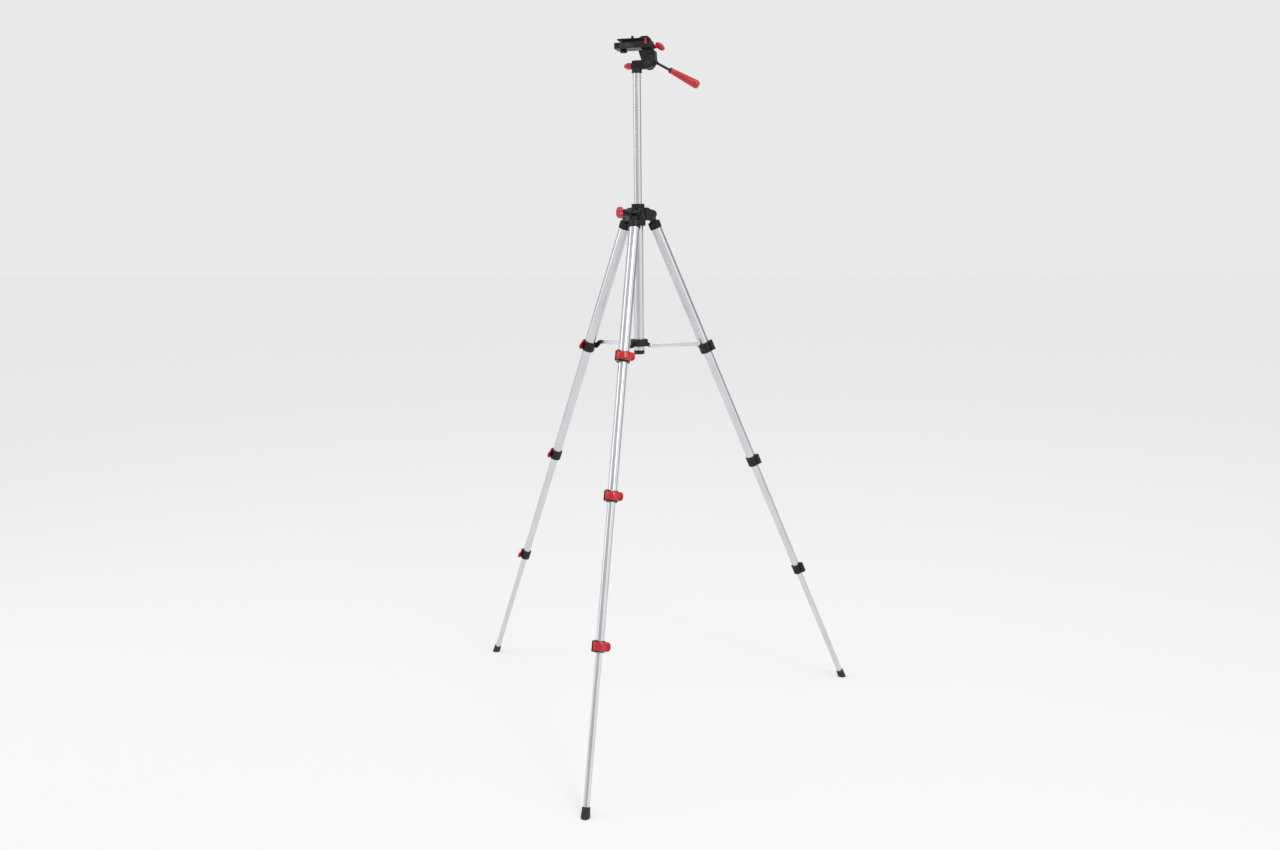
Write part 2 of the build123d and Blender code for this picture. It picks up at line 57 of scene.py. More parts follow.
def new_material(name, color, metallic=0.0, roughness=0.5, coat=0.0, coat_roughness=0.1):
    """A Principled material and its node tree."""
    material = bpy.data.materials.new(name)
    material.use_nodes = True
    shader = material.node_tree.nodes["Principled BSDF"]
    shader.inputs["Base Color"].default_value = (*color, 1)
    shader.inputs["Metallic"].default_value = metallic
    shader.inputs["Roughness"].default_value = roughness
    shader.inputs["Coat Weight"].default_value = coat
    shader.inputs["Coat Roughness"].default_value = coat_roughness
    return material


def noise(material, scale, detail=3.0, stretch=(1, 1, 1)):
    """A noise texture in the piece's own coordinates, in metres, stretched along an axis."""
    nodes, links = material.node_tree.nodes, material.node_tree.links
    place = nodes.new("ShaderNodeTexCoord")
    mapping = nodes.new("ShaderNodeMapping")
    mapping.inputs["Scale"].default_value = stretch
    texture = nodes.new("ShaderNodeTexNoise")
    texture.inputs["Scale"].default_value = scale
    texture.inputs["Detail"].default_value = detail
    links.new(place.outputs["Object"], mapping.inputs["Vector"])
    links.new(mapping.outputs["Vector"], texture.inputs["Vector"])
    return texture.outputs["Fac"]


def vary(material, value, low, high, socket):
    """Maps a 0 to 1 value onto one number socket of the shader."""
    nodes, links = material.node_tree.nodes, material.node_tree.links
    spread = nodes.new("ShaderNodeMapRange")
    spread.inputs["From Min"].default_value = 0.3
    spread.inputs["From Max"].default_value = 0.7
    spread.inputs["To Min"].default_value = low
    spread.inputs["To Max"].default_value = high
    links.new(value, spread.inputs["Value"])
    links.new(spread.outputs["Result"], nodes["Principled BSDF"].inputs[socket])


def tint(material, value, first, second):
    """Blends two colours by a 0 to 1 value into the base colour."""
    nodes, links = material.node_tree.nodes, material.node_tree.links
    ramp = nodes.new("ShaderNodeValToRGB")
    ramp.color_ramp.elements[0].position = 0.35
    ramp.color_ramp.elements[1].position = 0.65
    ramp.color_ramp.elements[0].color = (*first, 1)
    ramp.color_ramp.elements[1].color = (*second, 1)
    links.new(value, ramp.inputs["Fac"])
    links.new(ramp.outputs["Color"], nodes["Principled BSDF"].inputs["Base Color"])


def relief(material, value, height):
    """Bump of this height, in metres."""
    nodes, links = material.node_tree.nodes, material.node_tree.links
    bump = nodes.new("ShaderNodeBump")
    bump.inputs["Strength"].default_value = 1.0
    bump.inputs["Distance"].default_value = height
    links.new(value, bump.inputs["Height"])
    links.new(bump.outputs["Normal"], nodes["Principled BSDF"].inputs["Normal"])


def make_aluminium(name, grain):
    """Anodised metal with faint drawing lines along it and soft cloudy patches."""
    material = new_material(name, (0.68, 0.69, 0.71), 1.0, 0.3)
    lines = noise(material, 1400, 2.0, grain)
    clouds = noise(material, 60, 3.0, (1, 1, 0.2))
    vary(material, lines, 0.28, 0.4, "Roughness")
    tint(material, clouds, (0.65, 0.66, 0.68), (0.71, 0.72, 0.74))
    relief(material, lines, 0.000004)
    return material


def make_black_plastic(name, roughness, grain):
    """Moulded plastic with a fine spark-eroded texture, paler where it has been handled."""
    material = new_material(name, (0.012, 0.012, 0.013), 0.0, roughness)
    texture = noise(material, grain, 2.0)
    handled = noise(material, 90, 4.0)
    vary(material, handled, roughness - 0.07, roughness + 0.1, "Roughness")
    tint(material, handled, (0.005, 0.005, 0.006), (0.011, 0.011, 0.012))
    shader = material.node_tree.nodes["Principled BSDF"]
    shader.inputs["Specular IOR Level"].default_value = 0.36
    relief(material, texture, 0.00003)
    return material


def make_worn_plastic():
    """The ribbed sides of the tray, rubbed to a paler sheen."""
    material = new_material("black_plastic_worn", (0.06, 0.06, 0.062), 0.0, 0.3)
    rubbed = noise(material, 160, 4.0)
    grain = noise(material, 1300, 2.0)
    vary(material, rubbed, 0.24, 0.42, "Roughness")
    tint(material, rubbed, (0.024, 0.024, 0.026), (0.07, 0.07, 0.072))
    relief(material, grain, 0.00002)
    return material


def make_red_plastic():
    """Glossy moulded red with slight depth of colour and fine scuffs."""
    material = new_material("red_plastic", (0.5, 0.002, 0.01), 0.0, 0.24, 0.5, 0.06)
    flow = noise(material, 70, 3.0)
    scuffs = noise(material, 900, 4.0, (1, 1, 0.3))
    vary(material, scuffs, 0.2, 0.33, "Roughness")
    tint(material, flow, (0.46, 0.002, 0.008), (0.56, 0.004, 0.014))
    relief(material, scuffs, 0.000012)
    return material


def make_rubber():
    """Dull black rubber with a coarse grain and a little dust."""
    material = new_material("foot_rubber", (0.02, 0.02, 0.02), 0.0, 0.8)
    grain = noise(material, 1500, 3.0)
    dust = noise(material, 120, 5.0)
    vary(material, dust, 0.7, 0.9, "Roughness")
    tint(material, dust, (0.014, 0.014, 0.014), (0.04, 0.039, 0.037))
    relief(material, grain, 0.00006)
    return material


def make_pad_rubber():
    """The ribbed anti-slip pad on the plate."""
    material = new_material("pad_rubber", (0.035, 0.035, 0.037), 0.0, 0.75)
    grain = noise(material, 1100, 4.0)
    vary(material, grain, 0.65, 0.85, "Roughness")
    tint(material, grain, (0.025, 0.025, 0.027), (0.05, 0.05, 0.052))
    relief(material, grain, 0.00008)
    return material


def make_steel():
    """Bright zinc-plated steel with fine turning marks."""
    material = new_material("steel", (0.66, 0.66, 0.67), 1.0, 0.25)
    marks = noise(material, 1800, 2.0, (1, 1, 0.2))
    patches = noise(material, 250, 3.0)
    vary(material, patches, 0.18, 0.34, "Roughness")
    tint(material, patches, (0.6, 0.6, 0.62), (0.72, 0.72, 0.72))
    relief(material, marks, 0.000008)
    return material


def make_black_steel():
    """Blackened steel with a soft sheen, on the handle rod, hinge pins, axle and screw."""
    material = new_material("black_steel", (0.03, 0.03, 0.032), 0.6, 0.35)
    marks = noise(material, 1500, 2.0)
    vary(material, marks, 0.28, 0.42, "Roughness")
    tint(material, marks, (0.024, 0.024, 0.026), (0.042, 0.042, 0.045))
    relief(material, marks, 0.000008)
    return material


ALUMINIUM = make_aluminium("satin_aluminium", (1, 1, 0.006))
BAR_METAL = make_aluminium("bar_aluminium", (0.006, 1, 1))
BLACK = make_black_plastic("black_plastic", 0.4, 1300)
GLOSS_BLACK = make_black_plastic("black_plastic_smooth", 0.25, 900)
GREY = make_worn_plastic()
RED = make_red_plastic()
RUBBER = make_rubber()
PAD = make_pad_rubber()
STEEL = make_steel()
BLACK_STEEL = make_black_steel()


# ---------------------------------------------------------------- mesh helpers

def finish_piece(name, bm, matrix, material, body, nodes=(), bevel=0.0, segments=2):
    """Turns a mesh in millimetres into a piece that rides on a body."""
    bmesh.ops.remove_doubles(bm, verts=bm.verts, dist=0.0005)
    bmesh.ops.recalc_face_normals(bm, faces=bm.faces)
    bmesh.ops.scale(bm, vec=(MM, MM, MM), verts=bm.verts)
    mesh = bpy.data.meshes.new(name)
    bm.to_mesh(mesh)
    bm.free()
    piece = bpy.data.objects.new(name, mesh)
    bpy.context.scene.collection.objects.link(piece)
    piece.matrix_world = matrix
    mesh.materials.append(material)
    if bevel:
        rounding = piece.modifiers.new("edges", "BEVEL")
        rounding.width = bevel * MM
        rounding.segments = segments
        rounding.limit_method = "ANGLE"
        rounding.angle_limit = math.radians(32)
        rounding.harden_normals = False
    mesh.shade_smooth()
    mesh.set_sharp_from_angle(angle=math.radians(42))
    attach(piece, body)
    if nodes:
        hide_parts(*nodes)
    return piece


def add_loft(bm, rings, close_ends=True, closed=False):
    """Skins a row of rings that hold the same number of points."""
    rows = [[bm.verts.new(point) for point in ring] for ring in rings]
    count = len(rows[0])
    pairs = list(zip(rows, rows[1:]))
    if closed:
        pairs.append((rows[-1], rows[0]))
    for lower, upper in pairs:
        for i in range(count):
            j = (i + 1) % count
            bm.faces.new((lower[i], lower[j], upper[j], upper[i]))
    if close_ends and not closed:
        bm.faces.new(list(reversed(rows[0])))
        bm.faces.new(rows[-1])
    return rows


def circle(radius, z, segments=48, center=(0, 0)):
    return [
        (
            center[0] + radius * math.cos(TURN * i / segments),
            center[1] + radius * math.sin(TURN * i / segments),
            z,
        )
        for i in range(segments)
    ]


def add_lathe(bm, profile, segments=48, matrix=None, closed=False):
    """Turns (radius, z) pairs round Z. A closed profile makes a ring with a bore."""
    rings = [circle(max(r, 0.01), z, segments) for r, z in profile]
    if matrix is not None:
        rings = [[matrix @ Vector(p) for p in ring] for ring in rings]
    add_loft(bm, rings, closed=closed)


def add_prism(bm, outline, low, high, matrix=None):
    """An outline in X and Y, raised from low to high along Z."""
    rings = [[Vector((x, y, z)) for x, y in outline] for z in (low, high)]
    if matrix is not None:
        rings = [[matrix @ p for p in ring] for ring in rings]
    add_loft(bm, rings)


def arc(center, radius, start, end, steps=10):
    """Points on an arc, angles in degrees."""
    return [
        (
            center[0] + radius * math.cos(math.radians(start + (end - start) * i / steps)),
            center[1] + radius * math.sin(math.radians(start + (end - start) * i / steps)),
        )
        for i in range(steps + 1)
    ]


def rounded_rectangle(width, depth, radius, center=(0, 0), steps=5):
    x, y = width / 2 - radius, depth / 2 - radius
    corners = ((x, y, 0), (-x, y, 90), (-x, -y, 180), (x, -y, 270))
    points = []
    for cx, cy, start in corners:
        points += arc((center[0] + cx, center[1] + cy), radius, start, start + 90, steps)
    return points


def axes(origin, x_axis, y_axis, z_axis):
    """A matrix from three directions and an origin in metres."""
    matrix = Matrix.Identity(4)
    for column, direction in enumerate((x_axis, y_axis, z_axis)):
        for row in range(3):
            matrix[row][column] = direction[row]
    matrix.translation = origin
    return matrix


# Turns that stand an outline in X and Z and sweep it along -Y, or in Y and Z along X.
SIDE_ON = Matrix(((1, 0, 0, 0), (0, 0, -1, 0), (0, 1, 0, 0), (0, 0, 0, 1)))
ALONG_X = Matrix(((0, 0, 1, 0), (1, 0, 0, 0), (0, 1, 0, 0), (0, 0, 0, 1)))


# ---------------------------------------------------------------- legs

SECTION_RADII = (11.6, 9.9, 8.3, 6.5)
SECTION_BORES = (10.2, 8.6, 6.8, 5.3)
LOCK_DISTANCES = (315.5, 611.7, 911.5)
TUBE_INSERT = 45
TUBE_TOP = 9.5
FOOT_DISTANCE = 1231
LOCK_HEIGHT = 23
LOCK_WALL = 3
LEVER_HEIGHT = 19
PIVOT_ANGLE = -30
PIVOT_OFFSET = 3.2
BRACE_LENGTH, BRACE_HALF_HEIGHT, BRACE_THICKNESS = 112.5, 4.25, 2.5
BRACE_INNER_R, BRACE_Z, BRACE_SIDE = 22, 848.5, 15.2
BODIES = ("upper", "second", "third", "bottom")


def leg_matrix(leg, distance):
    """Across a leg below its hinge: Z up the leg, X outward, Y anticlockwise."""
    fold = JOINTS[f"leg_{leg}_fold"]
    sideways = Vector(fold["axis"])
    up = Vector(JOINTS[f"leg_{leg}_extend_1"]["axis"])
    origin = Vector(fold["pos_m"]) - up * distance * MM
    return axes(origin, sideways.cross(up), sideways, up)


def fluted_ring(radius, z, depth=0.4, flutes=4, segments=96):
    """A round section with narrow grooves along it."""
    points = []
    for i in range(segments):
        angle = TURN * i / segments
        nearest = (angle / TURN * flutes) % 1 - 0.5
        across = nearest * TURN / flutes * radius
        r = radius - depth * math.exp(-(across ** 2))
        points.append((r * math.cos(angle), r * math.sin(angle), z))
    return points


def fluted_tube(radius, bore, length, depth=0.4):
    """An extruded tube from z 0 up, its ends slightly eased."""
    bm = bmesh.new()
    ease = 0.35
    rings = [
        circle(bore, ease, 96),
        circle(bore + ease, 0, 96),
        fluted_ring(radius - ease, 0, depth),
        fluted_ring(radius, ease, depth),
        fluted_ring(radius, length - ease, depth),
        fluted_ring(radius - ease, length, depth),
        circle(bore + ease, length, 96),
        circle(bore, length - ease, 96),
    ]
    add_loft(bm, rings, closed=True)
    return bm


def add_ribs(bm, radius, low, high, count, width, height, start=0.0, end=360.0):
    """Upright half-round ribs round a barrel."""
    for i in range(count):
        angle = math.radians(start + (end - start) * (i + 0.5) / count)
        center = (radius * math.cos(angle), radius * math.sin(angle))
        rings = []
        for z, grow in ((low, 0.4), (low + 0.6, 1), (high - 0.6, 1), (high, 0.4)):
            ring = []
            for k in range(10):
                around = TURN * k / 10
                out = height * grow * math.cos(around)
                side = width / 2 * math.sin(around)
                ring.append(
                    (
                        center[0] + out * math.cos(angle) - side * math.sin(angle),
                        center[1] + out * math.sin(angle) + side * math.cos(angle),
                        z,
                    )
                )
            rings.append(ring)
        add_loft(bm, rings)


def make_top_cap(leg):
    """The strongly ribbed collar and the hinge tongue of a leg."""
    matrix = leg_matrix(leg, 24.5)
    bm = bmesh.new()
    profile = [(11.6, 0.4), (12.0, 0), (12.9, 0.3), (13.1, 1.4), (12.4, 1.9), (12.4, 13.0)]
    profile += [(13.0, 13.6), (12.9, 15.2), (11.4, 16), (6, 16), (6, 15.1), (11.6, 15.1)]
    add_lathe(bm, profile, 64, closed=True)
    add_ribs(bm, 12.5, 1.6, 13.4, 18, 1.8, 0.95)
    tongue = arc((0, 24.5), 6.2, 0, 180, 18) + [(-6.2, 15.4), (6.2, 15.4)]
    add_prism(bm, tongue, -6, 6, SIDE_ON)
    finish_piece(
        f"leg_{leg}_collar", bm, matrix, BLACK, f"leg_{leg}_upper",
        (f"leg_{leg}_top_cap",), 0.4,
    )


def make_sections(leg):
    """The four tubes of a leg."""
    for section in range(4):
        top = TUBE_TOP if section == 0 else LOCK_DISTANCES[section - 1] - TUBE_INSERT
        bottom = FOOT_DISTANCE - 11 if section == 3 else LOCK_DISTANCES[section]
        bm = fluted_tube(SECTION_RADII[section], SECTION_BORES[section], bottom - top)
        finish_piece(
            f"leg_{leg}_section_{section + 1}", bm, leg_matrix(leg, bottom), ALUMINIUM,
            f"leg_{leg}_{BODIES[section]}",
            (f"leg_{leg}_tube_{section + 1}",),
        )


def make_sleeve(leg, lock):
    """A lock sleeve: a barrel with a dipped rim, back ribs, lever lugs and clamp lips."""
    radius = SECTION_RADII[lock - 1] + LOCK_WALL
    grip = SECTION_RADII[lock - 1]
    below = SECTION_RADII[lock] + 0.3
    half = LOCK_HEIGHT / 2
    bm = bmesh.new()
    outer = [
        (grip, half - 0.4), (radius - 1.2, half), (radius - 0.2, half - 0.8),
        (radius, half - 2), (radius, half - 5), (radius - 0.5, half - 5.5),
        (radius - 0.5, -half + 5.5), (radius, -half + 5), (radius, -half + 2),
        (radius - 0.4, -half + 0.7), (radius - 1.4, -half), (below + 0.5, -half),
        (below, -half + 0.5), (below, -0.2), (grip, 0.2),
    ]
    add_lathe(bm, outer, 72, closed=True)
    for vert in bm.verts:
        if vert.co.z > half - 3:
            facing = vert.co.x / max(vert.co.xy.length, 0.1)
            vert.co.z -= 1.6 * max(0.0, facing) ** 2
    add_ribs(bm, radius - 0.5, -half + 5.2, half - 5.2, 9, 1.3, 0.55, 95, 300)
    pivot = radius + PIVOT_OFFSET
    angle = math.radians(PIVOT_ANGLE)
    spin = Matrix.Rotation(angle, 4, "Z")
    lug = [(radius - 1.5, -3.6), (pivot, -2.9)]
    lug += arc((pivot, 0), 2.9, -90, 90, 12)[1:] + [(radius - 1.5, 3.6)]
    thickness = (LOCK_HEIGHT - LEVER_HEIGHT) / 2 - 0.3
    for low, high in ((-half, -half + thickness), (half - thickness, half)):
        add_prism(bm, lug, low, high, spin)
    hood = [(radius - 1, -9.6), (radius + 2.0, -8.6), (radius + 5.4, -5.6)]
    hood += [(radius + 6.0, -3.6), (radius + 4.6, -3.3), (radius + 2.4, -3.6)]
    hood += [(radius - 1, -3.9)]
    add_prism(bm, hood, -half + 1.2, half - 1.2, spin)
    if lock == 1:
        add_spreader_ear(bm)
    matrix = leg_matrix(leg, LOCK_DISTANCES[lock - 1])
    body = f"leg_{leg}_{BODIES[lock - 1]}"
    finish_piece(
        f"leg_{leg}_sleeve_{lock}", bm, matrix, BLACK, body,
        (f"leg_{leg}_lock_{lock}",), 0.35,
    )
    pin = bmesh.new()
    place = spin @ Matrix.Translation((pivot, 0, 0))
    shank = [(0, -half - 0.5), (0.9, -half - 0.5), (1.5, -half - 0.1), (1.2, -half + 0.1)]
    shank += [(r, -z) for r, z in reversed(shank)]
    add_lathe(pin, shank, 20, place)
    finish_piece(
        f"leg_{leg}_lever_pin_{lock}", pin, matrix, STEEL, body,
    )


def add_spreader_ear(bm):
    """The flat ear beside which the spreader bar's outer rivet sits."""
    eye = (-17.9, 18.0)
    outline = arc(eye, 4.3, 40, 205, 12) + [(-15.3, 1.0), (-8.0, -2.0), (-7.0, 8.0)]
    add_prism(bm, outline, 10.5, 14.9, SIDE_ON)


def make_lever(leg, lock):
    """A crowned red lever: hinge barrel, curved strap and a flared thumb tab with ridges."""
    sleeve = SECTION_RADII[lock - 1] + LOCK_WALL
    inner, outer = sleeve + 0.5, sleeve + 3.5
    middle = (inner + outer) / 2
    end_angle, flare, tab_length, steps = 58, 48, 13, 14
    path = []
    for i in range(steps + 1):
        share = i / steps
        angle = math.radians(PIVOT_ANGLE + (end_angle - PIVOT_ANGLE) * share)
        center = Vector((middle * math.cos(angle), middle * math.sin(angle), 0))
        tall = 0.86 + 0.14 * min(1, share * 1.5)
        path.append((center, Vector((math.cos(angle), math.sin(angle), 0)), 3.0, tall))
    last = math.radians(end_angle)
    for i in range(1, steps + 1):
        share = i / steps
        turn = math.radians(flare) * min(1, share * 2)
        along = Vector((-math.sin(last - turn), math.cos(last - turn), 0))
        normal = Vector((math.cos(last - turn), math.sin(last - turn), 0))
        previous = path[-1][0]
        thick = 3.0 - 0.8 * share
        tall = math.sqrt(max(0.1, 1 - (max(0, share - 0.5) * 1.85) ** 2))
        path.append((previous + along * tab_length / steps, normal, thick, tall))
    bm = bmesh.new()
    half = LEVER_HEIGHT / 2
    section = ((-0.5, -0.97), (-0.5, 0.97), (-0.1, 1), (0.28, 0.93), (0.5, 0.72), (0.58, 0.36))
    section += ((0.6, 0), (0.58, -0.36), (0.5, -0.72), (0.28, -0.93), (-0.1, -1))
    rings = []
    for center, normal, thick, tall in path:
        ring = []
        for out, up in section:
            point = center + normal * out * thick
            ring.append((point.x, point.y, up * half * tall))
        rings.append(ring)
    add_loft(bm, rings)
    pivot = sleeve + PIVOT_OFFSET
    spin = Matrix.Rotation(math.radians(PIVOT_ANGLE), 4, "Z")
    place = spin @ Matrix.Translation((pivot, 0, 0))
    barrel = [(1.25, -half), (2.7, -half), (2.9, -half + 0.4), (2.9, half - 0.4), (2.7, half)]
    add_lathe(bm, barrel + [(1.25, half)], 28, place, closed=True)
    for step in (19, 21, 23, 25):
        center, normal, thick, tall = path[step]
        point = center + normal * (thick * 0.5)
        ridge = Matrix.Translation(point)
        add_lathe(
            bm,
            [(0.3, -half * tall * 0.7), (0.6, -half * tall * 0.66),
             (0.6, half * tall * 0.66), (0.3, half * tall * 0.7)],
            10, ridge,
        )
    finish_piece(
        f"leg_{leg}_flip_lever_{lock}", bm, leg_matrix(leg, LOCK_DISTANCES[lock - 1]), RED,
        f"leg_{leg}_flip_{lock}", (f"leg_{leg}_lever_{lock}",), 0.5, 3,
    )


def make_foot(leg):
    """A flared rubber foot with rings, cut level with the floor."""
    matrix = leg_matrix(leg, FOOT_DISTANCE)
    upright_frame = Matrix.Translation(matrix.translation)
    lean = matrix.to_3x3().to_4x4()
    bm = bmesh.new()
    profile = [(6.5, 18.6), (7.6, 19), (8.2, 18.4), (8.3, 16), (7.9, 15.6), (7.95, 14.4)]
    profile += [(8.4, 14), (8.45, 12), (8.05, 11.6), (8.1, 10.4), (8.55, 10), (8.9, 4)]
    profile += [(9.1, -6), (0, -6), (0, 11), (6.5, 11)]
    add_lathe(bm, profile, 56, lean, closed=True)
    cut = bmesh.ops.bisect_plane(
        bm, geom=bm.verts[:] + bm.edges[:] + bm.faces[:], dist=0.0001,
        plane_co=(0, 0, -matrix.translation.z / MM), plane_no=(0, 0, 1), clear_inner=True,
    )
    rim = [item for item in cut["geom_cut"] if isinstance(item, bmesh.types.BMEdge)]
    bmesh.ops.holes_fill(bm, edges=rim, sides=0)
    finish_piece(
        f"leg_{leg}_rubber_foot", bm, upright_frame, RUBBER, f"leg_{leg}_bottom",
        (f"leg_{leg}_foot",), 0.3,
    )


def make_brace(leg):
    """A pressed spreader bar: a flat web with turned-out flanges and a rivet at its end."""
    joint = JOINTS[f"leg_{leg}_brace_swing"]
    pivot = Vector(joint["pos_m"])
    sideways = Vector(joint["axis"])
    up = Vector((0, 0, 1))
    matrix = axes(pivot, sideways.cross(up), up, -sideways)
    length, half = BRACE_LENGTH, BRACE_HALF_HEIGHT
    inner, outer = BRACE_SIDE, BRACE_SIDE + BRACE_THICKNESS
    bm = bmesh.new()
    outline = arc((length, 0), half, -90, 90, 14) + arc((0, 0), half, 90, 270, 14)
    add_prism(bm, outline, inner, inner + 1.1)
    for edge in (-1, 1):
        flange = [(5, edge * 3.1), (length - 5, edge * 3.1)]
        flange += [(length - 4.4, edge * 4.2), (4.4, edge * 4.2)]
        add_prism(bm, flange, inner + 1.0, outer)
    finish_piece(
        f"leg_{leg}_spreader_strut", bm, matrix, BAR_METAL, f"leg_{leg}_spreader_bar",
        (f"leg_{leg}_brace",), 0.35,
    )
    rivet = bmesh.new()
    dome = [(0, inner + 0.4), (2.2, inner + 0.4), (2.2, inner + 1.1), (3.0, inner + 1.1)]
    dome += [(2.9, inner + 1.8), (1.9, inner + 2.6), (0, inner + 2.9)]
    add_lathe(rivet, dome, 28, Matrix.Translation((length, 0, 0)))
    finish_piece(
        f"leg_{leg}_strut_rivet", rivet, matrix, STEEL, f"leg_{leg}_spreader_bar",
    )


for leg in (1, 2, 3):
    make_top_cap(leg)
    make_sections(leg)
    for lock in (1, 2, 3):
        make_sleeve(leg, lock)
        make_lever(leg, lock)
    make_foot(leg)
    make_brace(leg)


# ---------------------------------------------------------------- centre

GUIDE_RADIUS, GUIDE_BORE = 10.8, 9.4
COLUMN_RADIUS, COLUMN_BORE = 8.4, 7.4
HUB_Z = 847.4
SPIDER_BASE, SPIDER_TOP = 1111, 1151
HINGE_R, HINGE_Z = 31.8, 1128.3
KNOB_Z = 1140


def upright(z, x=0, y=0):
    """A frame standing at a point given in millimetres."""
    return Matrix.Translation(Vector((x, y, z)) * MM)


def facing(direction, origin):
    """Z along a direction, X upward as far as it can be, at an origin in metres."""
    z_axis = Vector(direction).normalized()
    y_axis = z_axis.cross(Vector((0, 0, 1))).normalized()
    return axes(origin, y_axis.cross(z_axis), y_axis, z_axis)


def make_long_tube(name, node, body, radius, bore):
    low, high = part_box(node)
    bm = fluted_tube(radius, bore, (high[2] - low[2]) / MM, 0.3)
    finish_piece(name, bm, upright(low[2] / MM), ALUMINIUM, body, (node,))


make_long_tube("guide_sleeve", "guide_tube", "frame", GUIDE_RADIUS, GUIDE_BORE)
make_long_tube("centre_column", "column_tube", "column", COLUMN_RADIUS, COLUMN_BORE)


def make_guide_cap():
    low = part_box("guide_tube_cap")[0]
    bm = bmesh.new()
    profile = [(0, 0), (9.6, 0), (11.2, 0.8), (11.6, 2.0), (11.6, 8.2), (11.3, 9.0)]
    profile += [(10.8, 9.0), (10.8, 3.0), (0, 3.0)]
    add_lathe(bm, profile, 56)
    add_ribs(bm, 11.3, 2.2, 8.0, 16, 1.2, 0.4)
    finish_piece(
        "guide_end_cap", bm, upright(low[2] / MM), BLACK, "frame",
        ("guide_tube_cap",), 0.2,
    )


def make_hub():
    """The sliding ring of the spreader, with a lug for each strut."""
    bm = bmesh.new()
    profile = [(11.1, 0.5), (12.0, 0), (18.0, 0), (19.3, 0.8), (19.75, 2.4), (19.75, 6.4)]
    profile += [(19.1, 7.0), (19.1, 8.6), (19.75, 9.2), (19.75, 13.2), (19.3, 14.6)]
    profile += [(17.8, 15.6), (13.4, 15.6), (12.8, 14.9), (11.1, 14.9)]
    add_lathe(bm, profile, 80, closed=True)
    for leg in (1, 2, 3):
        joint = JOINTS[f"leg_{leg}_brace_swing"]
        outward = Vector(joint["axis"]).cross(Vector((0, 0, 1)))
        clockwise = -Vector(joint["axis"])
        local = axes(Vector((0, 0, 0)), outward, Vector((0, 0, 1)), clockwise)
        eye = (BRACE_INNER_R, BRACE_Z - HUB_Z)
        outline = arc(eye, BRACE_HALF_HEIGHT, -90, 90, 12) + [(10.5, 13.4), (10.5, 2)]
        add_prism(bm, outline, 9.5, 14.9, local)
        plain = [(13.5, 0.9), (21.5, -2.6), (21.5, 1.2), (13.5, 11.5)]
        add_prism(bm, plain, 8.0, 9.6, local)
    finish_piece(
        "sliding_hub", bm, upright(HUB_Z), BLACK, "spreader",
        ("spreader_hub",), 0.45,
    )


def make_brace_pin_heads():
    """Domed heads on the three spreader pins."""
    for leg in (1, 2, 3):
        joint = JOINTS[f"leg_{leg}_brace_swing"]
        matrix = facing(-Vector(joint["axis"]), Vector(joint["pos_m"]))
        bm = bmesh.new()
        profile = [(0, 9.7), (1.5, 9.7), (1.5, 18.0), (2.9, 18.0), (2.8, 18.6), (1.8, 19.3)]
        add_lathe(bm, profile + [(0, 19.5)], 28, Matrix.Identity(4))
        nodes = ("brace_pins",) if leg == 1 else ()
        finish_piece(f"spreader_pin_{leg}", bm, matrix, STEEL, "spreader", nodes)


make_guide_cap()
make_hub()
make_brace_pin_heads()


def make_spider():
    """The shoulder casting: a stepped hub, three forked arms with dished tops, and a boss."""
    bm = bmesh.new()
    hub = [(10.8, 0.4), (11.6, 0), (15.6, 0), (16.2, 0.7), (16.3, 11.4), (19.0, 11.8)]
    hub += [(19.4, 12.6), (19.0, 24), (17.8, 36.6), (16.2, 39.2), (13.6, 40), (10.8, 40)]
    add_lathe(bm, hub, 72, closed=True)
    hinge_r, hinge_z = HINGE_R, HINGE_Z - SPIDER_BASE
    crown = (hinge_r - 2.0, hinge_z + 7.2)
    for leg in (1, 2, 3):
        sideways = Vector(JOINTS[f"leg_{leg}_fold"]["axis"])
        outward = sideways.cross(Vector((0, 0, 1)))
        local = axes(Vector((0, 0, 0)), outward, Vector((0, 0, 1)), -sideways)
        brow = [(hinge_r + 5.6, hinge_z + 2.0), (hinge_r + 7.3, hinge_z + 4.6)]
        brow += arc(crown, 9.3, -6, 84, 10)
        brow += [(24.0, hinge_z + 18.4), (19.0, hinge_z + 21.9)]
        cheek = [(14, 11.8)] + arc((hinge_r, hinge_z), 5.5, -90, 20, 10) + brow + [(14, 39.6)]
        for low, high in ((-11.3, -6.3), (6.3, 11.3)):
            add_prism(bm, cheek, low, high, local)
        scoop = [(hinge_r + 3.4, 25.8)] + arc((hinge_r - 2.4, 24.6), 8.0, 10, 84, 8)
        scoop += [(22, 34.2), (18, 36.8), (14, 36.8), (14, 25.8)]
        add_prism(bm, scoop, -6.4, 6.4, local)
        for low, high in ((-11.3, -9.7), (9.7, 11.3)):
            rim = arc(crown, 9.9, -4, 86, 10)
            rim += [(24.0, hinge_z + 19.0), (19.4, hinge_z + 22.4), (19.0, hinge_z + 20.6)]
            rim += [(24.0, hinge_z + 17.0)] + arc(crown, 8.4, 84, -4, 10)
            add_prism(bm, rim, low, high, local)
    boss_axis = Vector(JOINTS["column_knob_turn"]["axis"])
    boss = facing(boss_axis, Vector((0, 0, KNOB_Z - SPIDER_BASE)))
    swap = Matrix(((0, 0, 1, 0), (0, 1, 0, 0), (1, 0, 0, 0), (0, 0, 0, 1)))
    add_lathe(
        bm,
        [(4.05, 12), (7.4, 12), (7.4, 33.2), (6.9, 34.2), (4.05, 34.2)],
        40, boss, closed=True,
    )
    for side in (-1, 1):
        web = [(12, side * 6.4), (30, side * 6.4), (12, side * 12.5)]
        add_prism(bm, web, -1.0, 1.0, boss @ swap)
    finish_piece(
        "shoulder_casting", bm, upright(SPIDER_BASE), GLOSS_BLACK, "frame",
        ("spider",), 0.6, 3,
    )


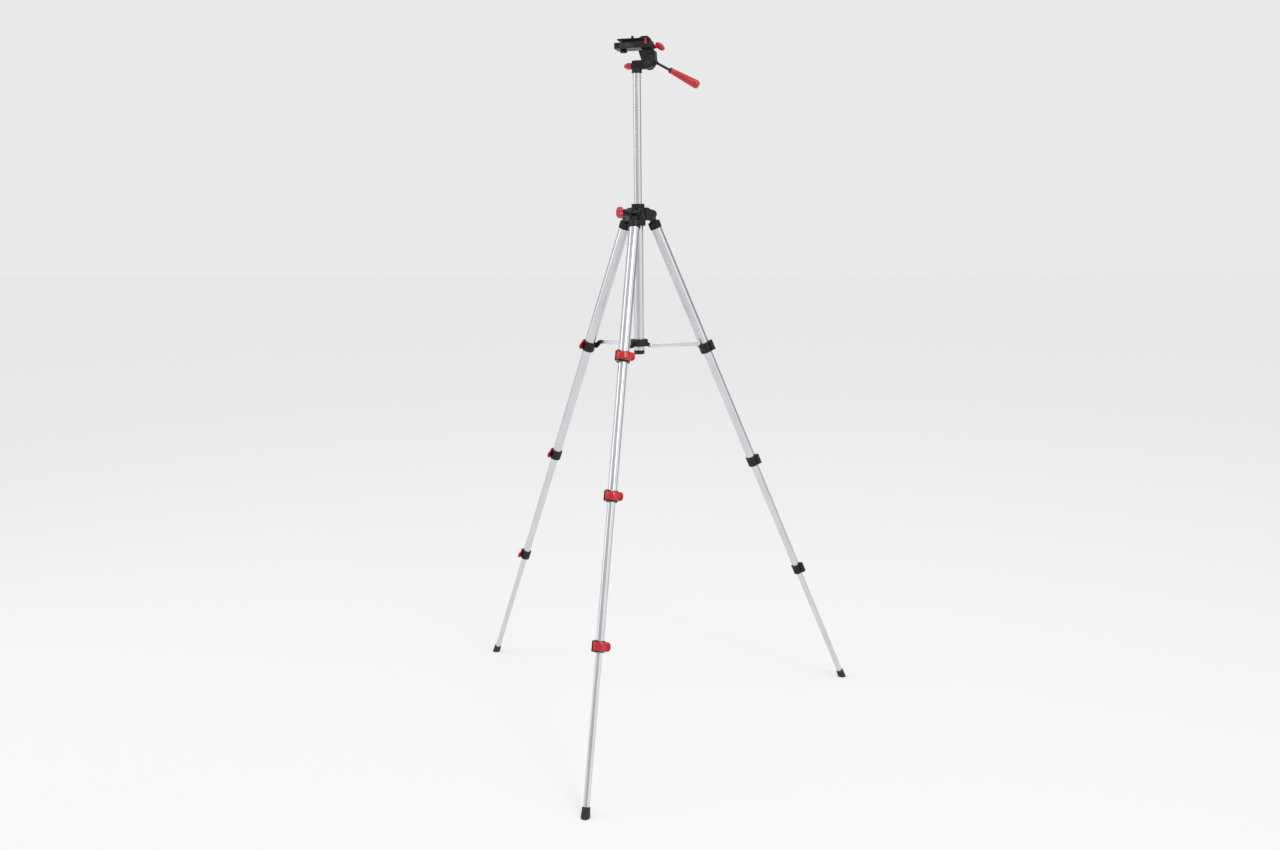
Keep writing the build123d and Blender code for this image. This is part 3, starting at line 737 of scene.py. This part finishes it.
def make_hinge_pins():
    """The leg hinge pins, with blackened rolled ends."""
    for leg in (1, 2, 3):
        joint = JOINTS[f"leg_{leg}_fold"]
        bm = bmesh.new()
        half = [(0, -12.4), (1.9, -12.3), (3.3, -11.8), (3.4, -11.4), (2.5, -11.35)]
        profile = half + [(r, -z) for r, z in reversed(half)]
        add_lathe(bm, profile, 32)
        matrix = facing(joint["axis"], Vector(joint["pos_m"]))
        nodes = ("leg_hinge_pins",) if leg == 1 else ()
        finish_piece(f"hinge_pin_{leg}", bm, matrix, BLACK_STEEL, "frame", nodes)


def make_column_collar():
    """The ring at the mouth of the guide tube, with a notched rim."""
    bm = bmesh.new()
    profile = [(8.7, 0), (13.9, 0), (14.3, 0.4), (14.3, 2.4), (13.9, 3.0), (8.7, 3.0)]
    add_lathe(bm, profile, 72, closed=True)
    for middle in (12, 102, 192, 282):
        block = arc((0, 0), 14.2, middle - 32, middle + 32, 16)
        block += arc((0, 0), 8.75, middle + 21, middle - 21, 10)
        inset = arc((0, 0), 13.5, middle - 31, middle + 31, 16)
        inset += arc((0, 0), 9.4, middle + 20, middle - 20, 10)
        rings = [[(x, y, z) for x, y in outline] for outline, z in (
            (block, 2.6), (block, 6.8), (inset, 7.4))]
        add_loft(bm, rings)
    finish_piece(
        "mouth_ring", bm, upright(SPIDER_TOP), BLACK, "frame",
        ("column_collar",), 0.2,
    )


def lobed_ring(radius, depth, lobes, z, segments=96, sharp=1.0):
    """A round section with shallow finger scallops."""
    points = []
    for i in range(segments):
        angle = TURN * i / segments
        wave = (0.5 + 0.5 * math.cos(lobes * angle)) ** sharp
        r = radius - depth * (1 - wave)
        points.append((r * math.cos(angle), r * math.sin(angle), z))
    return points


def make_column_knob():
    """The red scalloped knob that locks the column, with a dished face."""
    joint = JOINTS["column_knob_turn"]
    bm = bmesh.new()
    rings = [
        lobed_ring(9.0, 0.2, 6, 35.4), lobed_ring(10.6, 1.2, 6, 35.8),
        lobed_ring(11.9, 1.9, 6, 37.4), lobed_ring(12.2, 2.2, 6, 39.5),
        lobed_ring(12.1, 2.2, 6, 44.0), lobed_ring(11.5, 1.9, 6, 46.2),
        lobed_ring(10.2, 1.2, 6, 47.3), lobed_ring(8.0, 0.3, 6, 47.2),
        lobed_ring(7.2, 0.0, 6, 46.0), lobed_ring(3.2, 0.0, 6, 45.6),
        lobed_ring(2.6, 0.0, 6, 46.2), lobed_ring(0.05, 0.0, 6, 46.4),
    ]
    add_loft(bm, rings)
    add_lathe(bm, [(4.0, 11.2), (4.0, 36.5)], 32)
    origin = Vector((0, 0, joint["pos_m"][2]))
    finish_piece(
        "column_knob_red", bm, facing(joint["axis"], origin), RED, "column_knob",
        ("column_lock_knob",),
    )


make_spider()
make_hinge_pins()
make_column_collar()
make_column_knob()


# ---------------------------------------------------------------- head

TILT_X, TILT_Z = 26, 1452
STUD_Y, STUD_Z = 13, 1488
GRIP_START, GRIP_LENGTH = 36, 72
TILT_TOP = 1477.5


def make_pan_base():
    """The swivel collar on the column, and the tongue that the tilt cheeks clamp."""
    base = 1433.2
    bm = bmesh.new()
    collar = [(0, -15), (7.0, -15), (7.3, -14.4), (7.3, 0), (10.9, 0), (11.3, 0.5)]
    collar += [(11.3, 2.2), (10.6, 3.2), (10.4, 4.2), (10.4, 9.2), (9.6, 10.1), (0, 10.1)]
    add_lathe(bm, collar, 56)
    add_ribs(bm, 10.3, 3.8, 9.0, 18, 1.1, 0.35)
    tilt = (TILT_X, TILT_Z - base)
    outline = [(-10.3, 6.5)] + arc(tilt, 11, -90, 70, 18)
    outline += [(14, 25.6), (-7.5, 25.6), (-9.8, 23.6), (-10.3, 21.5)]
    add_prism(bm, outline, -5.4, 5.4, SIDE_ON)
    finish_piece(
        "swivel_base", bm, upright(base), BLACK, "pan", ("pan_base",), 0.5,
    )


def make_pan_knob():
    joint = JOINTS["pan_knob_turn"]
    bm = bmesh.new()
    rings = [
        circle(2, -6.6, 96), circle(2, 0.2, 96), lobed_ring(4.8, 0.3, 6, 0.2),
        lobed_ring(6.2, 0.9, 6, 0.9), lobed_ring(6.8, 1.3, 6, 2.6),
        lobed_ring(6.8, 1.3, 6, 9.5), lobed_ring(6.0, 1.0, 6, 11.6),
        lobed_ring(4.4, 0.2, 6, 12.6), lobed_ring(4.2, 0.0, 6, 14.8),
        lobed_ring(3.4, 0.0, 6, 15.8), lobed_ring(0.05, 0.0, 6, 16.0),
    ]
    add_loft(bm, rings)
    matrix = facing(joint["axis"], Vector((-11 * MM, 0, joint["pos_m"][2])))
    finish_piece(
        "pan_knob_red", bm, matrix, RED, "pan_knob", ("pan_lock_knob",),
    )


def make_tilt_body():
    """Two rounded cheeks joined over the tongue, each with a raised smooth oval face."""
    bm = bmesh.new()
    top = TILT_TOP - TILT_Z
    cheek = arc((0, 0), 12.4, 195, 345, 22)
    cheek += [(16.3, 7.5), (15.6, top - 1.6), (14.4, top - 0.1), (-17.8, top - 0.1)]
    cheek += [(-19, top - 1.4), (-19, 22.8), (-14.2, 8.6), (-13.2, 2)]
    for low, high in ((-13.1, -5.7), (5.7, 13.1)):
        add_prism(bm, cheek, low, high, SIDE_ON)
    bridge = [(-18.6, 16.7), (7, 16.7), (11.4, 12), (11.4, -8), (14.2, -6), (16.2, 7.5)]
    bridge += [(15.4, top - 1.6), (14.2, top - 0.2), (-17.6, top - 0.2), (-18.8, top - 1.4)]
    add_prism(bm, bridge, -5.9, 5.9, SIDE_ON)
    for side in (-1, 1):
        rings = []
        for scale, out in ((1, 12.6), (1, 13.2), (0.95, 13.8), (0.82, 14.15), (0.5, 14.25)):
            ring = []
            for i in range(48):
                angle = TURN * i / 48
                x = 10.6 * math.cos(angle) * scale
                z = (12.6 + 1.6 * math.sin(angle)) * math.sin(angle) * scale + 3.4
                ring.append(Vector((x + 0.22 * z, -side * out, z)))
            rings.append(ring)
        add_loft(bm, rings)
    pad = rounded_rectangle(24, 13, 2, (-1, -3))
    add_prism(bm, pad, top - 0.5, 1481.9 - TILT_Z)
    stud = (STUD_Y, STUD_Z - TILT_Z)
    lug = arc(stud, 4.6, 0, 180, 18) + [(8.4, top - 1), (14.0, top - 1), (17.4, 34)]
    add_prism(bm, lug, 12 - TILT_X, 28 - TILT_X, ALONG_X)
    axis = Vector(JOINTS["handle_twist"]["axis"])
    start = (Vector(JOINTS["handle_twist"]["pos_m"]) / MM) - Vector((TILT_X, 0, TILT_Z))
    socket = facing(axis, start)
    add_lathe(
        bm,
        [(2.75, 0.6), (2.75, 5.2), (3.4, 5.5), (4.4, 5.5), (4.6, 5.0), (4.6, 0.0), (2.75, 0.0)],
        32, socket, closed=True,
    )
    finish_piece(
        "tilt_yoke", bm, upright(TILT_Z, TILT_X), BLACK, "tilt",
        ("tilt_body",), 0.6, 3,
    )


def make_tilt_axle():
    """Low round caps over the ends of the tilt axle."""
    bm = bmesh.new()
    half = [(0, -15.5), (2.6, -15.3), (4.5, -14.8), (5.0, -14.3), (3.0, -14.2)]
    add_lathe(bm, half + [(r, -z) for r, z in reversed(half)], 40)
    matrix = facing((0, -1, 0), Vector((TILT_X, 0, TILT_Z)) * MM)
    finish_piece(
        "tilt_axle_caps", bm, matrix, BLACK_STEEL, "pan", ("tilt_axle",),
    )


def make_handle():
    """A thin blackened rod, a dark ferrule and a tapering red grip with long flutes."""
    joint = JOINTS["handle_twist"]
    matrix = facing(joint["axis"], Vector(joint["pos_m"]))
    rod = bmesh.new()
    add_lathe(rod, [(0, 0.8), (2.5, 0.8), (2.7, 1.2), (2.7, 48), (0, 48)], 32)
    finish_piece(
        "pan_handle_rod", rod, matrix, BLACK_STEEL, "handle", ("handle_rod",),
    )
    start, length = GRIP_START, GRIP_LENGTH
    ferrule = bmesh.new()
    shape = [(2.7, start - 0.2), (4.6, start - 0.2), (5.8, start + 0.8), (6.2, start + 2.2)]
    shape += [(6.2, start + 4.6), (5.6, start + 5.2), (2.7, start + 5.2)]
    add_lathe(ferrule, shape, 40, closed=True)
    finish_piece(
        "handle_ferrule", ferrule, matrix, BLACK, "handle", (), 0.25,
    )
    grip = bmesh.new()
    rings = [circle(2.7, start + 4.4, 108)]
    for i in range(25):
        share = i / 24
        z = start + 4.4 + (length - 4.4) * (0.86 * share)
        radius = 5.8 + 3.2 * share ** 0.9
        depth = 1.3 * math.sin(math.pi * min(1, share * 1.02)) ** 0.5
        rings.append(lobed_ring(radius, depth, 9, z, 108, 0.5))
    neck = rings[-1][0][0]
    tail = start + 4.4 + (length - 4.4) * 0.86
    for angle in (12, 26, 40, 54, 68, 80, 89):
        lift = (start + length - tail) * math.sin(math.radians(angle))
        rings.append(circle(neck * math.cos(math.radians(angle)) ** 0.45, tail + lift, 108))
    add_loft(grip, rings)
    finish_piece(
        "handle_grip_red", grip, matrix, RED, "handle", ("handle_grip",),
    )


def make_platform():
    """The tray: a thick rim split round the hinge lug, a rear wall, and ridges on its sides."""
    bm = bmesh.new()
    bottom, middle, top = 1482, 1486, 1494
    outline = arc((-40.5, 16), 5, 90, 180, 6) + arc((-40.5, -16), 5, 180, 270, 6)
    outline += arc((30.5, -16), 5, -90, 0, 6) + arc((30.5, 16), 5, 0, 90, 6)
    outline += [(28.3, 21), (28.3, 7.4), (11.7, 7.4), (11.7, 21)]
    add_prism(bm, outline, bottom - middle, top - middle)
    wall = [(28.8, 7.0), (35.4, 7.0), (34.2, 10.0), (31, 14.5), (28.8, 14.5)]
    add_prism(bm, wall, -16, 16, SIDE_ON)
    for y in (-14, -7, 0, 7, 14):
        rib = [(31.0, 7.5), (35.5, 7.5), (34.6, 10.2), (31.6, 14.2)]
        add_prism(bm, rib, -y - 0.8, -y + 0.8, SIDE_ON)
    finish_piece(
        "head_tray", bm, upright(middle), BLACK, "platform_tray",
        ("platform",), 0.8, 3,
    )
    grips = bmesh.new()
    for side in (-1, 1):
        for i in range(8):
            z = bottom - middle + 1.8 + 1.1 * i
            ridge = [(side * 20.6, z), (side * 21.1, z + 0.1), (side * 21.1, z + 0.8)]
            ridge += [(side * 20.6, z + 0.9)]
            add_prism(grips, ridge, -33.0, -3.0, ALONG_X)
    finish_piece(
        "tray_side_grips", grips, upright(middle), GREY, "platform_tray",
    )


def make_latch():
    """The small red quick-release latch on the side of the tray."""
    joint = JOINTS["plate_lever_open"]
    bm = bmesh.new()
    outline = arc((0, 0), 2.7, 180, 360, 12) + [(2.6, 5.2)] + arc((0, 6.4), 2.6, 0, 180, 12)
    outline += [(-2.6, 5.2)]
    add_prism(bm, outline, 0.2, 3.0)
    for z in (3.2, 5.0, 6.8):
        add_prism(bm, rounded_rectangle(3.6, 0.7, 0.3, (0, z)), 2.8, 3.3)
    matrix = axes(
        Vector((joint["pos_m"][0], -21.3 * MM, joint["pos_m"][2])),
        Vector((1, 0, 0)), Vector((0, 0, 1)), Vector((0, -1, 0)),
    )
    finish_piece(
        "plate_latch_red", bm, matrix, RED, "plate_latch", ("plate_lever",),
        0.4, 3,
    )


def make_clamp_knob():
    """The small knurled wheel under the tray."""
    joint = JOINTS["clamp_knob_turn"]
    bm = bmesh.new()
    profile = [(0, -3), (5.6, -3), (6.9, -2.4), (7.3, -1.4), (7.3, 1.6), (6.8, 2.6)]
    profile += [(2.5, 2.9), (2.5, 11), (0, 11)]
    add_lathe(bm, profile, 56)
    add_ribs(bm, 7.2, -2.2, 2.2, 26, 1.0, 0.45)
    x, y, z = joint["pos_m"]
    finish_piece(
        "tray_clamp_wheel", bm, upright(z / MM, x / MM, y / MM), BLACK, "clamp_knob",
        ("plate_clamp_knob",), 0.2,
    )


def make_wing_knob():
    """The red leaf-shaped wing that locks the side tilt, thick at its hub, thin at its edge."""
    joint = JOINTS["side_knob_turn"]
    bm = bmesh.new()
    hub = [(0, -31.8), (1.9, -31.8), (2.0, -31), (2.0, 0.5), (4.2, 0.5), (4.4, 1.0)]
    hub += [(4.2, 5.6), (3.0, 6.4), (0, 6.5)]
    add_lathe(bm, hub, 36)
    turn = math.radians(48)
    rings = []
    for share in (-1, -0.86, -0.55, 0, 0.55, 0.86, 1):
        scale = math.sqrt(max(0.02, 1 - (share * 0.92) ** 2))
        ring = []
        for i in range(48):
            angle = TURN * i / 48
            along = 12.8 * math.cos(angle) * scale
            across = 6.6 * math.sin(angle) * scale
            up = across * math.sin(turn) - along * math.cos(turn) * 0.9
            out = 13 + along * math.sin(turn) + across * math.cos(turn)
            ring.append(Vector((up, share * 2.5, out)))
        rings.append(ring)
    add_loft(bm, rings)
    origin = Vector((35.5 * MM, joint["pos_m"][1], joint["pos_m"][2]))
    matrix = facing(joint["axis"], origin)
    finish_piece(
        "side_tilt_wing_red", bm, matrix, RED, "side_knob",
        ("side_tilt_knob",), 0.4, 3,
    )


def make_plate():
    """The quick-release plate: a thin deck, a dovetail, a rear stop and ribbed rubber pads."""
    bm = bmesh.new()
    base = 1494
    add_prism(bm, rounded_rectangle(67.1, 39, 4, (-5.25, 0)), 5.5, 8.0)
    rings = []
    for z, inset in ((0.05, 0), (1.2, 0.1), (5.6, 0.85)):
        outline = rounded_rectangle(57 - 2 * inset, 24 - 2 * inset, 1.2, (-1.5, -3))
        rings.append([(x, y, z) for x, y in outline])
    add_loft(bm, rings)
    stop = [(6.5, 7.6), (28.2, 7.6), (28.2, 11.2), (27.4, 12), (16, 12), (14.2, 11.6)]
    add_prism(bm, stop, -17, 17, SIDE_ON)
    finish_piece(
        "quick_plate", bm, upright(base), BLACK, "plate",
        ("quick_release_plate",), 0.45,
    )
    pad = bmesh.new()
    for i in range(9):
        x = -36.5 + 2.6 * i
        add_prism(pad, rounded_rectangle(1.9, 33, 0.6, (x, 0)), 7.7, 8.35)
    for x in (-0.8, 1.8, 4.4):
        add_prism(pad, rounded_rectangle(1.9, 33, 0.6, (x, 0)), 7.7, 8.35)
    finish_piece("plate_pad", pad, upright(base), PAD, "plate", (), 0.2)


# Half a pitch each way of the screw's thread: radius and height from its crest.
THREAD_PROFILE = (
    (2.3, -0.62), (2.62, -0.5), (3.12, -0.08), (3.12, 0.08), (2.62, 0.5), (2.3, 0.62),
)


def make_camera_screw():
    """A quarter-inch screw with a cut thread and a head with a small round recess."""
    low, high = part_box("camera_screw")
    length = (high[2] - low[2]) / MM
    bm = bmesh.new()
    head = [(0, 0.4), (1.0, 0.4), (1.0, 0), (6.4, 0), (7.0, 0.5), (7.0, 2.4), (6.6, 2.6)]
    add_lathe(bm, head + [(2.9, 2.6), (2.9, 7.0), (0, 7.0)], 48)
    pitch, segments = 1.27, 24
    rings = []
    turns = (length - 7.0) / pitch
    steps = int(turns * segments)
    for i in range(steps + 1):
        angle = TURN * i / segments
        z = 7.0 + pitch * i / segments
        fade = min(1, (steps - i) / segments)
        ring = []
        for r, dz in THREAD_PROFILE:
            reach = 2.3 + (r - 2.3) * (0.4 + 0.6 * fade)
            height = min(max(z + dz, 6.9), length - 0.3)
            ring.append((reach * math.cos(angle), reach * math.sin(angle), height))
        rings.append(ring)
    add_loft(bm, rings)
    add_lathe(bm, [(0, 6.8), (2.62, 6.8), (2.62, length - 0.9), (1.9, length), (0, length)], 32)
    center = (low + high) / 2
    finish_piece(
        "quarter_inch_screw", bm, upright(low[2] / MM, center[0] / MM, center[1] / MM),
        BLACK_STEEL, "screw", ("camera_screw",),
    )


make_pan_base()
make_pan_knob()
make_tilt_body()
make_tilt_axle()
make_handle()
make_platform()
make_latch()
make_clamp_knob()
make_wing_knob()
make_plate()
make_camera_screw()


# ---------------------------------------------------------------- floor, light and camera

# Sizes and places in this section are in metres, except for the camera's lens and sensor.

# Brightness of the surround by compass heading in degrees, 0 along +X and 90 along +Y.
CARDS = (
    (-180, 0.6), (-164, 0.9), (-148, 0.7), (-128, 0.22), (-110, 0.45), (-94, 0.6), (-80, 0.22),
    (-64, 0.2), (-46, 0.6), (-32, 1.0), (-12, 1.0), (10, 0.3), (40, 0.2), (90, 0.3),
    (140, 0.25), (162, 0.35), (180, 0.6),
)
FLOOR_GLOW = 0.5


def make_stage():
    """A wide pale floor with nothing on it, faintly glowing so it fades into the surround."""
    material = new_material("floor_white", (0.5, 0.5, 0.505), 0.0, 0.8)
    shader = material.node_tree.nodes["Principled BSDF"]
    shader.inputs["Specular IOR Level"].default_value = 0.1
    shader.inputs["Emission Color"].default_value = (1, 1, 1, 1)
    shader.inputs["Emission Strength"].default_value = FLOOR_GLOW
    bm = bmesh.new()
    bmesh.ops.create_grid(bm, x_segments=1, y_segments=1, size=30)
    mesh = bpy.data.meshes.new("floor")
    bm.to_mesh(mesh)
    bm.free()
    floor = bpy.data.objects.new("floor", mesh)
    bpy.context.scene.collection.objects.link(floor)
    floor.location.z = -0.0005
    mesh.materials.append(material)


def make_world():
    """A dim surround with soft grey cards in it. The camera sees it a plain pale grey."""
    world = bpy.data.worlds.new("surround")
    bpy.context.scene.world = world
    world.use_nodes = True
    nodes, links = world.node_tree.nodes, world.node_tree.links
    seen = nodes["Background"]
    seen.inputs["Color"].default_value = (0.82, 0.82, 0.822, 1)
    seen.inputs["Strength"].default_value = 1.0
    direction = nodes.new("ShaderNodeTexCoord")
    split = nodes.new("ShaderNodeSeparateXYZ")
    links.new(direction.outputs["Generated"], split.inputs["Vector"])
    heading = nodes.new("ShaderNodeMath")
    heading.operation = "ARCTAN2"
    links.new(split.outputs["Y"], heading.inputs[0])
    links.new(split.outputs["X"], heading.inputs[1])
    share = nodes.new("ShaderNodeMapRange")
    share.inputs["From Min"].default_value = -180
    share.inputs["From Max"].default_value = 180
    degrees = nodes.new("ShaderNodeMath")
    degrees.operation = "DEGREES"
    links.new(heading.outputs["Value"], degrees.inputs[0])
    links.new(degrees.outputs["Value"], share.inputs["Value"])
    cards = nodes.new("ShaderNodeValToRGB")
    ramp = cards.color_ramp
    for _ in CARDS[1:-1]:
        ramp.elements.new(0.5)
    for element, (degree, level) in zip(ramp.elements, CARDS):
        element.position = (degree + 180) / 360
        element.color = (level, level, level * 1.01, 1)
    links.new(share.outputs["Result"], cards.inputs["Fac"])
    felt = nodes.new("ShaderNodeBackground")
    felt.inputs["Strength"].default_value = 1.35
    links.new(cards.outputs["Color"], felt.inputs["Color"])
    path = nodes.new("ShaderNodeLightPath")
    mix = nodes.new("ShaderNodeMixShader")
    links.new(path.outputs["Is Camera Ray"], mix.inputs["Fac"])
    links.new(felt.outputs["Background"], mix.inputs[1])
    links.new(seen.outputs["Background"], mix.inputs[2])
    links.new(mix.outputs["Shader"], nodes["World Output"].inputs["Surface"])


def make_light(name, location, target, size, energy):
    light = bpy.data.lights.new(name, "AREA")
    light.shape = "RECTANGLE"
    light.size, light.size_y = size
    light.energy = energy
    lamp = bpy.data.objects.new(name, light)
    bpy.context.scene.collection.objects.link(lamp)
    lamp.location = location
    aim = Vector(target) - Vector(location)
    lamp.rotation_mode = "QUATERNION"
    lamp.rotation_quaternion = aim.to_track_quat("-Z", "Y")


def make_camera():
    """Looks across at the tripod from a little to one side, tipped down."""
    azimuth, pitch, roll = math.radians(12.16), math.radians(9.63), math.radians(-0.52)
    distance, height = 2.4576, 1.0858
    data = bpy.data.cameras.new("camera")
    data.sensor_width = 36
    data.lens = 31.06
    camera = bpy.data.objects.new("camera", data)
    bpy.context.scene.collection.objects.link(camera)
    camera.location = (distance * math.sin(azimuth), -distance * math.cos(azimuth), height)
    camera.rotation_mode = "XYZ"
    look = Matrix.Rotation(azimuth, 4, "Z") @ Matrix.Rotation(math.pi / 2 - pitch, 4, "X")
    look = look @ Matrix.Rotation(roll, 4, "Z")
    camera.rotation_euler = look.to_euler("XYZ")
    data.clip_end = 100
    bpy.context.scene.camera = camera


make_stage()
make_world()
make_light("key", (1.9, -2.2, 3.2), (0, 0, 0.9), (1.0, 1.6), 30)
make_light("top", (0.3, -0.2, 4.2), (0, 0, 0.8), (2.4, 2.4), 24)
make_light("side", (-2.6, -0.9, 1.9), (0, 0, 0.8), (0.7, 2.2), 10)
make_camera()
bpy.context.scene.view_settings.view_transform = "Standard"
